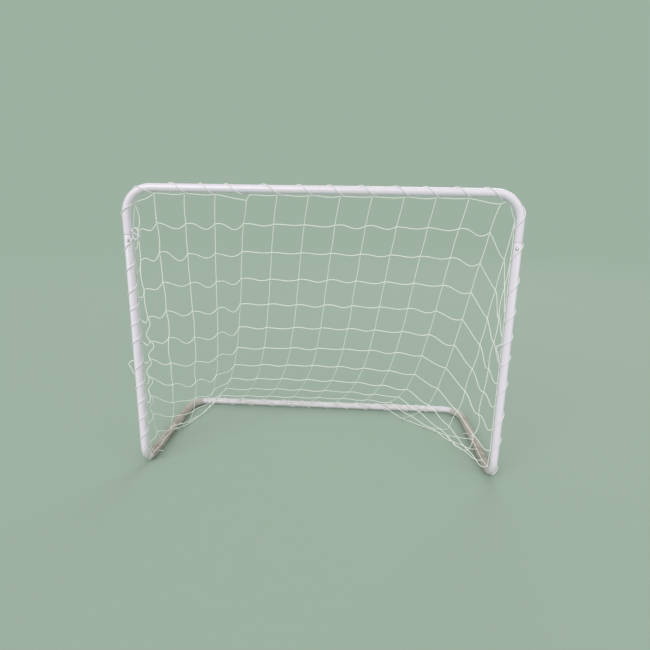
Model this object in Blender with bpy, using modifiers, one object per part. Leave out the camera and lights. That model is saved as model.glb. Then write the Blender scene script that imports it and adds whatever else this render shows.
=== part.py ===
"""Portable goal: a knock-down frame of white steel tube with a square-mesh net laced onto it.

The frame is four tubes. The top tube and the rear tube are U shapes, and their two legs end in
swaged necks that plug into the two bent side tubes. Each plug joint is held by a spring clip whose
button stands out through both walls. The net hangs from the crossbar to the back bar and is tied on
by lacing cords that spiral round the tubes. What is left of the cord is wound closely round the two
floor legs, and put up in a small hank and two bights on the posts.

Metres, +Z up. The mouth faces -Y and the floor is z = 0. The origin is the middle of the footprint.
"""
from math import cos, floor, pi, sin, sqrt

import bmesh
import bpy
import numpy as np
from mathutils import Matrix, Vector

# Frame: overall sizes of the tube work
GOAL_WIDTH = 1.200
GOAL_HEIGHT = 0.940
GOAL_DEPTH = 0.570
TUBE_DIAMETER = 0.025
TUBE_WALL = 0.0012
TOP_BEND_RADIUS = 0.080
REAR_BEND_RADIUS = 0.080
FOOT_BEND_RADIUS = 0.055
TUBE_SIDES = 16
BEND_STEPS = 8

# Plug joints
TOP_LEG_REACH = 0.1395
REAR_LEG_REACH = 0.258
NECK_LENGTH = 0.045
NECK_TAPER = 0.0018
SEAT_GAP = 0.0003

# Spring clips
BUTTON_INSET = 0.017
BUTTON_TURN = pi / 8
BUTTON_DIAMETER = 0.0078
BUTTON_PROUD = 0.0022
BUTTON_HOLE_CLEARANCE = 0.0005
CLIP_ARM_LENGTH = 0.038
CLIP_ARM_TAIL = 0.0065
CLIP_STRIP_WIDTH = 0.0070
CLIP_STRIP_THICKNESS = 0.0008
CLIP_WALL_CLEARANCE = 0.0003

# Lacing cord
LACE_DIAMETER = 0.0030
LACE_GAP = 0.0003
CROSSBAR_LACE_PITCH = 0.092
POST_LACE_PITCH = 0.084
POST_LACE_BELOW_BUTTON = 0.0164
RAIL_LACE_PITCH = 0.035
BACK_LACE_PITCH = 0.088
LACE_END_MARGIN = 0.006
POINTS_PER_TURN = 8

# Net
NET_CORD = 0.0025
NET_MESH = 0.100
NET_LEAST_DROOP = 0.004
NET_DROOP_TO_SPAN = 0.28
LAST_DROOPING_ROW = 7
NET_LACE_PITCH = 0.094
NET_COLUMNS = 16
NET_ROWS = 11
NET_CORNER_DROP = 0.052
LEFT_FOOT_SHORT = 0.020
LEFT_LEG_TIE = 0.165
RIGHT_LEG_TIE = 0.190
LEFT_TIED_COLUMN = 2
FIRST_BAR_COLUMN = 5
LAST_BAR_COLUMN = 12
BAR_TIE_LEFT = 0.0175
BAR_TIE_RIGHT = 0.2575
LOOSE_EDGE_DROP = 0.050
NET_SIDE_FADE = 3
NET_SAG = 0.069
NET_SAG_SPREAD = 0.4
NET_DRIFT = 0.045
NET_DRIFT_SPREAD = 0.6
NET_LOWNESS = 1.53
PANEL_COLUMNS = {"left_edge": (0, 2), "left": (2, 4), "back_left": (4, 8),
                 "back_right": (8, 12), "right": (12, 14), "right_edge": (14, NET_COLUMNS)}
PANEL_ROWS = {"upper": (0, 4), "middle": (4, 8), "lower": (8, NET_ROWS)}
FLOOR_CLEARANCE = 0.0010
NET_TUCK = 0.0013

# Loose ends of the lacing cord: a hank at the left button, and a bight on each post
HANK_WIDTH = 0.0204
HANK_HEIGHT = 0.0350
HANK_OUT = 0.0250
HANK_ABOVE_BUTTON = 0.0206
HANK_TURNS = 2.58
HANK_FIRST_TURN = 1 / 6
HANK_POINTS_PER_TURN = 16
HANK_PITCH = 0.0036
HANK_FRONT = -0.0052
CORD_END_GAP = 0.00015
LEFT_BIGHT_Z = 0.3335
RIGHT_BIGHT_Z = 0.4095

# Worked out from the sizes above
TUBE_R = TUBE_DIAMETER / 2
LACE_R = LACE_DIAMETER / 2
NET_R = NET_CORD / 2
FLAT_SHARE = cos(pi / TUBE_SIDES)
HALF_WIDTH = GOAL_WIDTH / 2 - TUBE_R
FRONT_Y = -GOAL_DEPTH / 2 + TUBE_R
BACK_Y = GOAL_DEPTH / 2 - TUBE_R
BAR_Z = GOAL_HEIGHT - TUBE_R
LACE_FLAT = LACE_DIAMETER / 10
RAIL_Z = TUBE_R + LACE_GAP + LACE_DIAMETER - LACE_FLAT
SOCKET_R = TUBE_R * FLAT_SHARE - TUBE_WALL
NECK_R = SOCKET_R - SEAT_GAP
NECK_BORE = NECK_R * FLAT_SHARE - TUBE_WALL
STRIP_OUT = sqrt((NECK_BORE - CLIP_WALL_CLEARANCE) ** 2 - (CLIP_STRIP_WIDTH / 2) ** 2)
STRIP_MID = STRIP_OUT - CLIP_STRIP_THICKNESS / 2
TOP_RIM_REACH = TOP_LEG_REACH + NECK_TAPER + SEAT_GAP
REAR_RIM_REACH = REAR_LEG_REACH + NECK_TAPER + SEAT_GAP
TOP_BUTTON_Z = BAR_Z - TOP_RIM_REACH - BUTTON_INSET
REAR_BUTTON_Y = BACK_Y - REAR_RIM_REACH - BUTTON_INSET
LACE_REACH = (TUBE_R + LACE_GAP + LACE_R) / cos(pi / POINTS_PER_TURN)
NET_STANDOFF = LACE_REACH + LACE_R + SEAT_GAP + NET_R - NET_TUCK
CROSSBAR_HALF = HALF_WIDTH - TOP_BEND_RADIUS
TOP_BEND_LENGTH = TOP_BEND_RADIUS * pi / 2
POST_STRAIGHT = BAR_Z - TOP_BEND_RADIUS - RAIL_Z - FOOT_BEND_RADIUS
FOOT_BEND_LENGTH = FOOT_BEND_RADIUS * pi / 2
NET_LEFT_REACH = CROSSBAR_HALF + TOP_BEND_LENGTH + NET_CORNER_DROP
NET_RIGHT_REACH = NET_LACE_PITCH * NET_COLUMNS - NET_LEFT_REACH
LEG_START = CROSSBAR_HALF + TOP_BEND_LENGTH + POST_STRAIGHT + FOOT_BEND_LENGTH

X, Y, Z = Vector((1, 0, 0)), Vector((0, 1, 0)), Vector((0, 0, 1))

# The bights' routes: out from the post's axis, forwards of it, and up from the lower end
BIGHT_END = TUBE_R + CORD_END_GAP
LEFT_BIGHT = [
    (BIGHT_END, 0.0020, 0.0475), (0.0156, 0.0022, 0.0475), (0.0190, 0.0026, 0.0463), (0.0232, 0.0032, 0.0440),
    (0.0268, 0.0038, 0.0408), (0.0288, 0.0042, 0.0366), (0.0286, 0.0044, 0.0320), (0.0264, 0.0044, 0.0277),
    (0.0236, 0.0042, 0.0233), (0.0212, 0.0040, 0.0188), (0.0196, 0.0036, 0.0140), (0.0186, 0.0032, 0.0092),
    (0.0176, 0.0028, 0.0046), (0.0156, 0.0024, 0.0010), (BIGHT_END, 0.0020, 0.0000),
]
RIGHT_BIGHT = [
    (BIGHT_END, 0.0020, 0.0645), (0.0156, 0.0020, 0.0645), (0.0200, 0.0022, 0.0640), (0.0246, 0.0025, 0.0625),
    (0.0288, 0.0028, 0.0598), (0.0316, 0.0030, 0.0556), (0.0322, 0.0032, 0.0508), (0.0306, 0.0032, 0.0460),
    (0.0278, 0.0032, 0.0412), (0.0250, 0.0032, 0.0364), (0.0232, 0.0032, 0.0312), (0.0226, 0.0031, 0.0258),
    (0.0228, 0.0030, 0.0204), (0.0228, 0.0029, 0.0150), (0.0214, 0.0027, 0.0098), (0.0188, 0.0024, 0.0052),
    (0.0156, 0.0021, 0.0014), (BIGHT_END, 0.0020, 0.0000),
]


# Scene helpers

def clear_scene():
    for old in list(bpy.data.objects):
        bpy.data.objects.remove(old, do_unlink=True)


def new_collection(name):
    group = bpy.data.collections.new(name)
    bpy.context.scene.collection.children.link(group)
    return group


def finish_material(name, colour, roughness, metallic=0.0):
    material = bpy.data.materials.new(name)
    material.use_nodes = True
    shader = material.node_tree.nodes["Principled BSDF"]
    shader.inputs["Base Color"].default_value = (*colour, 1)
    shader.inputs["Roughness"].default_value = roughness
    shader.inputs["Metallic"].default_value = metallic
    return material


def add_object(name, data, group, material=None):
    piece = bpy.data.objects.new(name, data)
    group.objects.link(piece)
    if material:
        data.materials.append(material)
    return piece


def hide_as_tool(piece):
    piece.hide_render = True
    piece.display_type = "WIRE"
    return piece


def cord_curve(name, points, radius, sides, group, material=None, caps=True, scales=None):
    """A tube along a run of points: a poly curve with a round bevel."""
    curve = bpy.data.curves.new(name, "CURVE")
    curve.dimensions = "3D"
    curve.bevel_depth = radius
    curve.bevel_resolution = (sides - 4) // 2
    curve.use_fill_caps = caps
    spline = curve.splines.new("POLY")
    spline.points.add(len(points) - 1)
    for index, point in enumerate(points):
        spline.points[index].co = (*point, 1)
        spline.points[index].radius = scales[index] if scales else 1
    return add_object(name, curve, group, material)


def curve_to_mesh(piece):
    """The same piece as a welded mesh, so that it can take a wall or a cut."""
    graph = bpy.context.evaluated_depsgraph_get()
    mesh = bpy.data.meshes.new_from_object(piece.evaluated_get(graph))
    shape = bmesh.new()
    shape.from_mesh(mesh)
    bmesh.ops.remove_doubles(shape, verts=shape.verts, dist=1e-6)
    shape.to_mesh(mesh)
    shape.free()
    name, group = piece.name, piece.users_collection[0]
    place = piece.matrix_world.copy()
    bpy.data.objects.remove(piece, do_unlink=True)
    solid = add_object(name, mesh, group)
    solid.matrix_world = place
    return solid


def cut(piece, cutter):
    boolean = piece.modifiers.new("cut " + cutter.name, "BOOLEAN")
    boolean.operation = "DIFFERENCE"
    boolean.solver = "EXACT"
    boolean.object = cutter


def round_shading(piece):
    piece.data.shade_smooth()
    piece.data.set_sharp_from_angle(angle=0.6)


# Tube work

def filleted_path(corners, radii):
    """Straight runs joined by arcs: corners are the sharp corner points, ends included."""
    path = [corners[0]]
    for before, corner, after, radius in zip(corners, corners[1:], corners[2:], radii):
        back = (before - corner).normalized()
        ahead = (after - corner).normalized()
        centre = corner + (back + ahead) * radius
        for step in range(BEND_STEPS + 1):
            turn = step / BEND_STEPS * pi / 2
            path.append(centre - ahead * radius * cos(turn) - back * radius * sin(turn))
    path.append(corners[-1])
    return path


def hollow_tube(name, path, scales, group, material):
    """A bent tube: the swept outer skin without caps, given its wall on the inside."""
    skin = cord_curve(name, path, TUBE_R, TUBE_SIDES, group, caps=False, scales=scales)
    tube = curve_to_mesh(skin)
    tube.data.materials.append(material)
    round_shading(tube)
    wall = tube.modifiers.new("wall", "SOLIDIFY")
    wall.thickness = TUBE_WALL
    wall.offset = -1
    wall.use_even_offset = True
    return tube


def necked_u_tube(name, foot, leg, reach, bend_radius, group, material):
    """A U of tube across the goal, its two legs ending in swaged necks. foot is the bar's middle."""
    across = X * HALF_WIDTH
    mouth = leg * (reach + NECK_TAPER + NECK_LENGTH)
    neck_top = leg * (reach + NECK_TAPER)
    shoulder = leg * reach
    ends = [foot - across + mouth, foot - across + neck_top]
    run = filleted_path([foot - across + shoulder, foot - across, foot + across, foot + across + shoulder],
                        [bend_radius, bend_radius])
    path = ends + run + [foot + across + neck_top, foot + across + mouth]
    slim = NECK_R / TUBE_R
    scales = [slim, slim] + [1] * len(run) + [slim, slim]
    return hollow_tube(name, path, scales, group, material)


def side_tube(name, x, group, material):
    """Post, foot bend and floor leg in one: a socket at each end takes a neck."""
    top = Vector((x, FRONT_Y, BAR_Z - TOP_RIM_REACH))
    corner = Vector((x, FRONT_Y, RAIL_Z))
    rear = Vector((x, BACK_Y - REAR_RIM_REACH, RAIL_Z))
    path = filleted_path([top, corner, rear], [FOOT_BEND_RADIUS])
    return hollow_tube(name, path, None, group, material)


# Spring clips

def clip_frame(at, inward, outward):
    """A clip's own axes: X into the tube from the button, Y out through the wall, Z across."""
    across = inward.cross(outward)
    turn = Matrix((inward, outward, across)).transposed().to_4x4()
    return Matrix.Translation(at) @ turn


def button_hole(name, place, group):
    """A drill along the button's axis that passes through one wall."""
    bpy.ops.mesh.primitive_cylinder_add(
        vertices=16, radius=BUTTON_DIAMETER / 2 + BUTTON_HOLE_CLEARANCE, depth=TUBE_DIAMETER / 2,
        location=(0, 0, 0))
    drill = bpy.context.object
    drill.name = name
    for old in list(drill.users_collection):
        old.objects.unlink(drill)
    group.objects.link(drill)
    drill.matrix_world = place @ Matrix.Translation(Y * TUBE_R) @ Matrix.Rotation(pi / 2, 4, "X")
    return hide_as_tool(drill)


def strip(name, points, group, material):
    """Spring strip: a flat ribbon along the points, thickened to both sides."""
    curve = bpy.data.curves.new(name, "CURVE")
    curve.dimensions = "2D"
    curve.fill_mode = "NONE"
    curve.extrude = CLIP_STRIP_WIDTH / 2
    spline = curve.splines.new("POLY")
    spline.points.add(len(points) - 1)
    for index, point in enumerate(points):
        spline.points[index].co = (point[0], point[1], 0, 1)
    ribbon = curve_to_mesh(add_object(name, curve, group))
    ribbon.data.materials.append(material)
    thick = ribbon.modifiers.new("thickness", "SOLIDIFY")
    thick.thickness = CLIP_STRIP_THICKNESS
    thick.offset = 0
    thick.use_even_offset = True
    return ribbon


def clip_spring(name, place, group, material):
    """The bow of the clip and its plain arm, which bears on the wall opposite the button."""
    bow_steps = 10
    points = [(CLIP_ARM_LENGTH + STRIP_MID * sin(pi * k / bow_steps), STRIP_MID * cos(pi * k / bow_steps))
              for k in range(bow_steps + 1)]
    points.append((-CLIP_ARM_TAIL, -STRIP_MID))
    spring = strip(name, points, group, material)
    spring.matrix_world = place
    return spring


def clip_button(name, place, group, tools, material):
    """The arm that carries the button. Its origin is on the axis where the arm leaves the bow."""
    arm_end = CLIP_ARM_LENGTH - SEAT_GAP
    arm = strip(name, [(arm_end, STRIP_MID), (-CLIP_ARM_TAIL, STRIP_MID)], group, material)
    radius = BUTTON_DIAMETER / 2
    crown = TUBE_R + BUTTON_PROUD
    dome = radius * 0.45
    outline = [(0, crown), (radius * 0.5, crown - dome * 0.15), (radius * 0.85, crown - dome * 0.5),
               (radius, crown - dome), (radius, STRIP_MID), (0, STRIP_MID)]
    stud_mesh = bpy.data.meshes.new(name + "_stud")
    stud_mesh.from_pydata([(x, 0, y) for x, y in outline], [(k, k + 1) for k in range(len(outline) - 1)], [])
    stud = add_object(name + "_stud", stud_mesh, tools)
    turn = stud.modifiers.new("turn", "SCREW")
    turn.steps = 16
    turn.render_steps = 16
    turn.use_merge_vertices = True
    turn.merge_threshold = 0.00001
    stud.matrix_world = place @ Matrix.Rotation(-pi / 2, 4, "X")
    hide_as_tool(stud)
    joined = arm.modifiers.new("button", "BOOLEAN")
    joined.operation = "UNION"
    joined.solver = "EXACT"
    joined.object = stud
    hinge = Matrix.Translation((CLIP_ARM_LENGTH, STRIP_MID, 0))
    arm.data.transform(hinge.inverted())
    arm.matrix_world = place @ hinge
    return arm


# Lacing

def lace_points(start, end, anchor, along, side, pitch):
    """Helix round a straight run of tube, right-handed, standing clear of the tube at its flats.

    At the anchor, the cord lies on the given side of the tube, at the middle of one flat.
    """
    other = along.cross(side)
    step = pitch / POINTS_PER_TURN
    first = floor((start - anchor) / step) + 1
    last = floor((end - anchor) / step)
    points = []
    for index in range(first, last):
        angle = (index + 0.5) * 2 * pi / POINTS_PER_TURN
        offset = side * cos(angle) + other * sin(angle)
        points.append(along * (anchor + (index + 0.5) * step) + offset * LACE_REACH)
    return points


def least_gap(points, radius, skip):
    """Least distance between the cord's own surface at points more than skip apart along it."""
    places = np.array([tuple(p) for p in points])
    apart = np.linalg.norm(places[:, None] - places[None], axis=2)
    order = np.arange(len(places))
    near = np.abs(order[:, None] - order[None]) <= skip
    apart[near] = np.inf
    return float(apart.min()) - 2 * radius


def lace(name, points, origin, sides, group, material, trim=None):
    """One run of lacing cord. trim is the floor block that flattens it where the goal stands."""
    cord = cord_curve(name, [point + origin for point in points], LACE_R, sides, group)
    print(name, "least gap to itself", round(least_gap(points, LACE_R, POINTS_PER_TURN // 2) * 1000, 2), "mm")
    if trim:
        cord = curve_to_mesh(cord)
        cut(cord, trim)
    cord.data.materials.append(material)
    return cord


# Loose ends of the lacing cord

def hank_points(post, inwards):
    """From the post into a small upright coil beside it and back to the post at the button."""
    centre = post + inwards * HANK_OUT + Z * (TOP_BUTTON_Z + HANK_ABOVE_BUTTON)
    surface = TUBE_R + CORD_END_GAP
    count = round(HANK_TURNS * HANK_POINTS_PER_TURN)
    coil = []
    for index in range(count + 1):
        turns = index / HANK_POINTS_PER_TURN
        angle = 2 * pi * (turns + HANK_FIRST_TURN)
        coil.append(centre - inwards * HANK_WIDTH / 2 * cos(angle) + Z * HANK_HEIGHT / 2 * sin(angle)
                    + Y * (HANK_FRONT + HANK_PITCH * turns))
    first = coil[0]
    start = Vector((post.x, first.y - 0.0008, first.z - 0.0075)) + inwards * surface
    last = coil[-1]
    end = Vector((post.x, post.y + 0.002, last.z - 0.0035)) + inwards * surface
    lead_in = [start, start + inwards * LACE_DIAMETER + Z * 0.0008]
    lead_out = [last - inwards * 0.004 - Z * 0.0016, end + inwards * LACE_DIAMETER, end]
    return lead_in + coil + lead_out


def bight_points(post, outwards, low_z, turns):
    """A slack loop of cord from the post out and back to it. turns are (out, forward, up) from the post."""
    return [post + outwards * out - Y * forward + Z * (low_z + up) for out, forward, up in turns]


def loose_cord(name, points, sides, skip, group, material):
    cord = cord_curve(name, points, LACE_R, sides, group, material)
    print(name, "least gap to itself", round(least_gap(points, LACE_R, skip) * 1000, 2), "mm")
    return cord


# Net

def frame_outline(distance):
    """Where the net is laced: a place beside the tube, that far round from the crossbar's middle.

    The way goes along the crossbar, down a post, round the foot bend and back along the floor leg.
    """
    side = 1 if distance >= 0 else -1
    past_bar = abs(distance) - CROSSBAR_HALF
    past_bend = past_bar - TOP_BEND_LENGTH
    past_post = past_bend - POST_STRAIGHT
    past_foot = past_post - FOOT_BEND_LENGTH
    if past_bar < 0:
        axis, inwards = Vector((abs(distance), 0, BAR_Z)), -Z
    elif past_bend < 0:
        turn = past_bar / TOP_BEND_RADIUS
        outwards = Vector((sin(turn), 0, cos(turn)))
        axis = Vector((CROSSBAR_HALF, 0, BAR_Z - TOP_BEND_RADIUS)) + outwards * TOP_BEND_RADIUS
        inwards = Y * (past_bar / TOP_BEND_LENGTH) - outwards
    elif past_post < 0:
        axis, inwards = Vector((HALF_WIDTH, 0, BAR_Z - TOP_BEND_RADIUS - past_bend)), Y - X
    elif past_foot < 0:
        turn = past_post / FOOT_BEND_RADIUS
        upwards = Vector((0, cos(turn), sin(turn)))
        axis = Vector((HALF_WIDTH, FOOT_BEND_RADIUS, RAIL_Z + FOOT_BEND_RADIUS)) - upwards * FOOT_BEND_RADIUS
        inwards = upwards - X
    else:
        axis, inwards = Vector((HALF_WIDTH, FOOT_BEND_RADIUS + past_foot, RAIL_Z)), Z - X
    place = axis + inwards.normalized() * NET_STANDOFF
    return Vector((side * place.x, FRONT_Y + place.y, place.z))


def net_top(u):
    return frame_outline(NET_LACE_PITCH * NET_COLUMNS * u - NET_LEFT_REACH)


def net_left(v):
    foot = LEG_START - LEFT_FOOT_SHORT
    return frame_outline(-NET_LEFT_REACH - (foot - NET_LEFT_REACH) * v)


def net_right(v):
    foot = LEG_START + RIGHT_LEG_TIE
    return frame_outline(NET_RIGHT_REACH + (foot - NET_RIGHT_REACH) * v)


def net_bottom(u):
    """Tied to the left floor leg and to the back bar, and loose on the floor on both sides of the bar."""
    column = u * NET_COLUMNS
    seat = NET_STANDOFF / sqrt(2)
    half_bar = HALF_WIDTH - REAR_BEND_RADIUS
    bar_left = Vector((BAR_TIE_LEFT - half_bar, BACK_Y - seat, RAIL_Z + seat))
    bar_right = Vector((half_bar - BAR_TIE_RIGHT, BACK_Y - seat, RAIL_Z + seat))
    if column <= LEFT_TIED_COLUMN:
        run = LEFT_FOOT_SHORT + LEFT_LEG_TIE
        return frame_outline(LEFT_FOOT_SHORT - LEG_START - run * column / LEFT_TIED_COLUMN)
    if column < FIRST_BAR_COLUMN:
        tie = frame_outline(-LEG_START - LEFT_LEG_TIE)
        return loose_edge(tie, bar_left, (column - LEFT_TIED_COLUMN) / (FIRST_BAR_COLUMN - LEFT_TIED_COLUMN))
    if column <= LAST_BAR_COLUMN:
        return bar_left.lerp(bar_right, (column - FIRST_BAR_COLUMN) / (LAST_BAR_COLUMN - FIRST_BAR_COLUMN))
    return loose_edge(bar_right, net_right(1), (column - LAST_BAR_COLUMN) / (NET_COLUMNS - LAST_BAR_COLUMN))


def loose_edge(start, end, t):
    """The bottom cord between two ties, where it is let down to the floor."""
    place = start.lerp(end, t)
    place.z = max(place.z - LOOSE_EDGE_DROP * sin(pi * t), FLOOR_CLEARANCE + NET_CORD)
    return place


def net_point(u, v):
    """The hanging net: straight from top to bottom, drawn to the posts at its sides, let down by its slack."""
    place = net_top(u).lerp(net_bottom(u), v)
    to_left = net_left(v) - net_top(0).lerp(net_bottom(0), v)
    to_right = net_right(v) - net_top(1).lerp(net_bottom(1), v)
    place += to_left * (1 - u) ** NET_SIDE_FADE + to_right * u ** NET_SIDE_FADE
    chord = (net_bottom(0.5) - net_top(0.5)).normalized()
    low = sin(pi * v ** NET_LOWNESS)
    place += chord.cross(X) * (NET_SAG * low * sin(pi * u) ** NET_SAG_SPREAD)
    place += X * (NET_DRIFT * low * sin(pi * u ** NET_DRIFT_SPREAD))
    place.z = max(place.z, FLOOR_CLEARANCE + NET_CORD)
    return place


def net_knot(column, row):
    return net_point(column / NET_COLUMNS, row / NET_ROWS)


def net_droop(column, row):
    """How low the row cord after a knot hangs: by what the mesh is longer than the span."""
    span = (net_knot(column + 1, row) - net_knot(column, row)).length
    droop = sqrt(max(NET_MESH ** 2 - span ** 2, 0)) / 2
    if row > LAST_DROOPING_ROW or droop < NET_LEAST_DROOP:
        return 0
    return min(droop, NET_DROOP_TO_SPAN * span)


def net_between(column, row):
    """The middle of the row cord after a knot."""
    place = (net_knot(column, row) + net_knot(column + 1, row)) / 2
    place.z = max(place.z - net_droop(column, row), FLOOR_CLEARANCE + NET_CORD)
    return place


def net_panel(name, columns, rows, group, material):
    """A run of net columns and rows: a grid laid on the net's surface, whose edges become cords."""
    (left, right), (top, bottom) = columns, rows
    wide, high = right - left, bottom - top
    bpy.ops.mesh.primitive_grid_add(x_subdivisions=2 * wide, y_subdivisions=high, size=2)
    panel = bpy.context.object
    panel.name = name
    for old in list(panel.users_collection):
        old.objects.unlink(panel)
    group.objects.link(panel)
    shape = bmesh.new()
    shape.from_mesh(panel.data)
    between = set()
    taut = []
    for vertex in shape.verts:
        half_columns = round((vertex.co.x + 1) * wide)
        column = left + half_columns // 2
        row = top + round((1 - vertex.co.y) / 2 * high)
        if half_columns % 2:
            vertex.co = net_between(column, row)
            between.add(vertex)
            if not net_droop(column, row):
                taut.append(vertex)
        else:
            vertex.co = net_knot(column, row)
    uprights = {edge for vertex in between for edge in vertex.link_edges
                if edge.other_vert(vertex) in between}
    bmesh.ops.dissolve_edges(shape, edges=list(uprights), use_verts=False)
    bmesh.ops.dissolve_verts(shape, verts=taut)
    shape.to_mesh(panel.data)
    shape.free()
    panel.data.materials.append(material)
    cords = panel.modifiers.new("cords", "WIREFRAME")
    cords.thickness = NET_CORD
    cords.offset = 0
    cords.use_boundary = True
    cords.use_replace = True
    cords.use_even_offset = True
    return panel


def seam_cutter(name, points, group):
    """A tube just wider than the cord along those points, past both of its ends, mitred at its kinks.

    It takes that cord off a panel, whose other cords then meet the same cord of the next panel.
    """
    before = points[0] + (points[0] - points[1]).normalized() * 3 * NET_CORD
    after = points[-1] + (points[-1] - points[-2]).normalized() * 3 * NET_CORD
    path = [before, *points, after]
    ways = [(there - here).normalized() for here, there in zip(path, path[1:])]
    mitres = [1 / sqrt((1 + way.dot(next_way)) / 2) for way, next_way in zip(ways, ways[1:])]
    sides = 6
    reach = (NET_R + 2 * SEAT_GAP) / cos(pi / sides)
    tube = cord_curve(name, path, reach, sides, group, scales=[1, *mitres, 1])
    return hide_as_tool(curve_to_mesh(tube))


def hang_net(group, tools, material):
    """The net in panels. A cord that two panels share belongs to the one on the right, or below."""
    for across, columns in PANEL_COLUMNS.items():
        for down, rows in PANEL_ROWS.items():
            (left, right), (top, bottom) = columns, rows
            name = f"net_{across}_{down}"
            panel = net_panel(name, columns, rows, group, material)
            if right < NET_COLUMNS:
                upright = [net_knot(right, row) for row in range(top, bottom + 1)]
                cut(panel, seam_cutter(name + "_right_seam", upright, tools))
            if bottom < NET_ROWS:
                level = [place for column in range(left, right)
                         for place in (net_knot(column, bottom), net_between(column, bottom))]
                level.append(net_knot(right, bottom))
                cut(panel, seam_cutter(name + "_lower_seam", level, tools))


# The whole goal

def build_goal():
    clear_scene()
    parts = new_collection("portable_goal")
    tools = new_collection("cutters")
    paint = finish_material("white powder coat", (0.86, 0.85, 0.87), 0.35)
    steel = finish_material("zinc plated spring steel", (0.62, 0.62, 0.60), 0.35, 1.0)
    twine = finish_material("white net cord", (0.85, 0.85, 0.82), 0.75)
    lacing = finish_material("white lacing cord", (0.80, 0.78, 0.76), 0.8)

    crossbar_middle = Vector((0, FRONT_Y, BAR_Z))
    back_middle = Vector((0, BACK_Y, RAIL_Z))
    top_tube = necked_u_tube("top_tube", crossbar_middle, -Z, TOP_LEG_REACH, TOP_BEND_RADIUS, parts, paint)
    rear_tube = necked_u_tube("rear_tube", back_middle, -Y, REAR_LEG_REACH, REAR_BEND_RADIUS, parts, paint)

    for label, x in (("left", -HALF_WIDTH), ("right", HALF_WIDTH)):
        side = side_tube("side_tube_" + label, x, parts, paint)
        facing = Vector((-sin(BUTTON_TURN) * x / HALF_WIDTH, -cos(BUTTON_TURN), 0))
        joints = (
            ("top", top_tube, Vector((x, FRONT_Y, TOP_BUTTON_Z)), Z, facing),
            ("rear", rear_tube, Vector((x, REAR_BUTTON_Y, RAIL_Z)), Y, Z),
        )
        for end, necked, at, inward, outward in joints:
            place = clip_frame(at, inward, outward)
            drill = button_hole(f"button_drill_{end}_{label}", place, tools)
            cut(side, drill)
            cut(necked, drill)
            clip_spring(f"clip_spring_{end}_{label}", place, parts, steel)
            clip_button(f"clip_button_{end}_{label}", place, parts, tools, steel)

    bpy.ops.mesh.primitive_cube_add(size=1, location=(0, 0, -0.5), scale=(2 * GOAL_WIDTH, 2 * GOAL_DEPTH, 1))
    floor_block = hide_as_tool(bpy.context.object)
    floor_block.name = "floor_trim"
    for old in list(floor_block.users_collection):
        old.objects.unlink(floor_block)
    tools.objects.link(floor_block)

    straight = HALF_WIDTH - TOP_BEND_RADIUS - LACE_END_MARGIN
    lace("lacing_crossbar", lace_points(-straight, straight, 0, X, Z, CROSSBAR_LACE_PITCH),
         crossbar_middle, 4, parts, lacing)
    straight = HALF_WIDTH - REAR_BEND_RADIUS - LACE_END_MARGIN
    lace("lacing_back_bar", lace_points(-straight, straight, 0, X, -Z, BACK_LACE_PITCH),
         back_middle, 4, parts, lacing, floor_block)
    for label, x in (("left", -HALF_WIDTH), ("right", HALF_WIDTH)):
        low = RAIL_Z + FOOT_BEND_RADIUS + LACE_END_MARGIN
        high = BAR_Z - TOP_BEND_RADIUS - LACE_END_MARGIN
        crossing = TOP_BUTTON_Z - POST_LACE_BELOW_BUTTON
        lace("lacing_post_" + label, lace_points(low, high, crossing, Z, -Y, POST_LACE_PITCH),
             Vector((x, FRONT_Y, 0)), 4, parts, lacing)
        near = FRONT_Y + FOOT_BEND_RADIUS + LACE_END_MARGIN
        far = BACK_Y - REAR_BEND_RADIUS - LACE_END_MARGIN
        lace("lacing_rail_" + label, lace_points(near, far, REAR_BUTTON_Y, Y, -Z, RAIL_LACE_PITCH),
             Vector((x, 0, RAIL_Z)), 4, parts, lacing, floor_block)

    left_post = Vector((-HALF_WIDTH, FRONT_Y, 0))
    right_post = Vector((HALF_WIDTH, FRONT_Y, 0))
    loose_cord("lacing_hank", hank_points(left_post, X), 6, HANK_POINTS_PER_TURN // 2, parts, lacing)
    loose_cord("lacing_bight_left", bight_points(left_post, -X, LEFT_BIGHT_Z, LEFT_BIGHT), 6, 6, parts, lacing)
    loose_cord("lacing_bight_right", bight_points(right_post, -X, RIGHT_BIGHT_Z, RIGHT_BIGHT), 6, 6,
               parts, lacing)

    hang_net(parts, tools, twine)


build_goal()
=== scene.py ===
# %% [markdown]
# A portable goal
#
# This is a small knock-down ball goal: four bent steel tubes, powder coated white, with a
# square-mesh net laced onto them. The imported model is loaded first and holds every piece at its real
# size and place. Its tubes, cords and net panels are then made again with the detail of the real
# ones, and its spring clips get a better finish.

# %% Load the frame
from math import cos, pi, sin, sqrt

import bpy
import numpy as np
from mathutils import Matrix, Vector


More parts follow.
